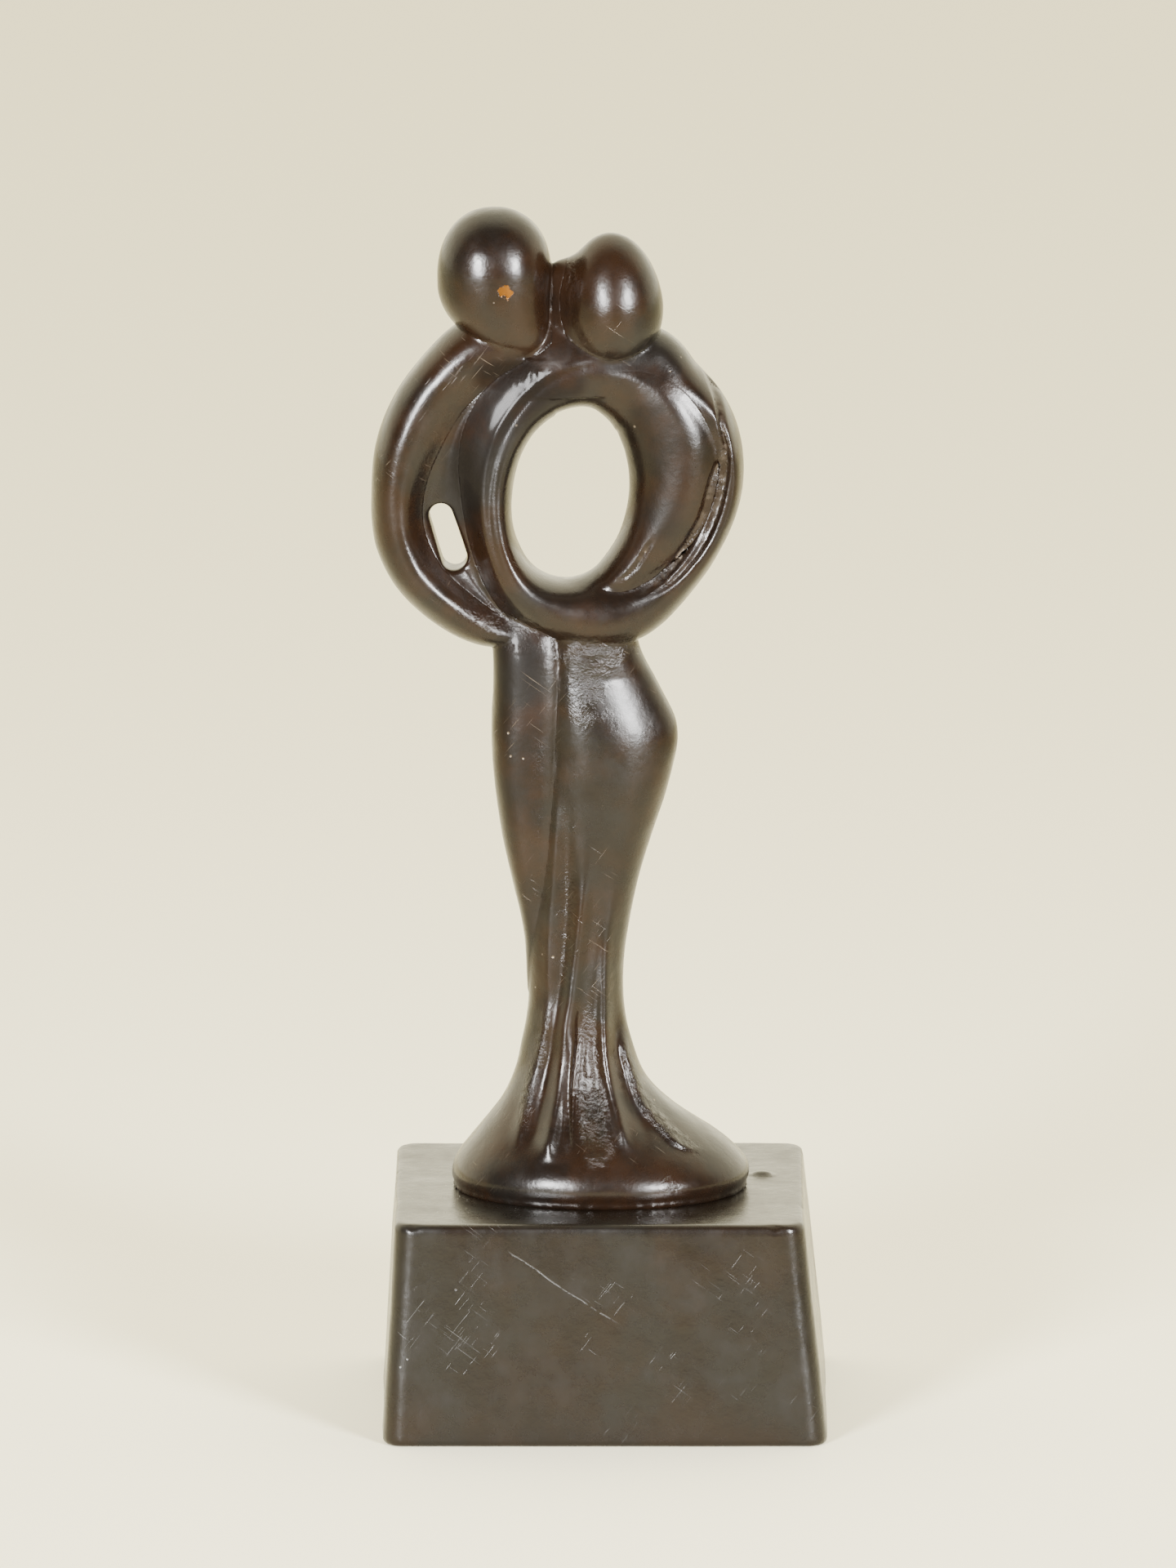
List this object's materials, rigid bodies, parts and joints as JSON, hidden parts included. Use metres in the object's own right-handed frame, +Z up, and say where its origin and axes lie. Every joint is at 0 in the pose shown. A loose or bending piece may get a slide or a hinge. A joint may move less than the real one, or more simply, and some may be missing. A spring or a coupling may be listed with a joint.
{
  "type": "bronze couple figurine on a plinth",
  "caption": "Small cast bronze of two abstract, faceless figures in an embrace, their bowed backs and arms forming an open ring, standing on a hollow splayed rectangular plinth.",
  "frame": {"origin": "middle of the plinth's underside, on the surface that it stands on, centred on the whole object's width and depth", "axes": "+Z up, the long way of the figurine; +X to the viewer's right when it is seen from the front; +Y away from the viewer, through the ring"},
  "size_m": [0.1118, 0.096, 0.3001],
  "materials": {
    "figure_patina": "wax-polished dark brown patina over cast bronze, satin",
    "plinth_patina": "wax-polished dark brown patina over cast bronze, satin",
    "zinc_steel": "dull zinc plating"
  },
  "bodies": {
    "root": {"left_head": "figure_patina", "right_head": "figure_patina", "head_bridge": "figure_patina", "bowed_back": "figure_patina", "side_web": "figure_patina", "embrace_ring": "figure_patina", "inner_band": "figure_patina", "left_leg": "figure_patina", "skirted_body": "figure_patina", "plinth": "plinth_patina", "washers": "zinc_steel", "fixing_screws": "zinc_steel"}
  },
  "joints": []
}
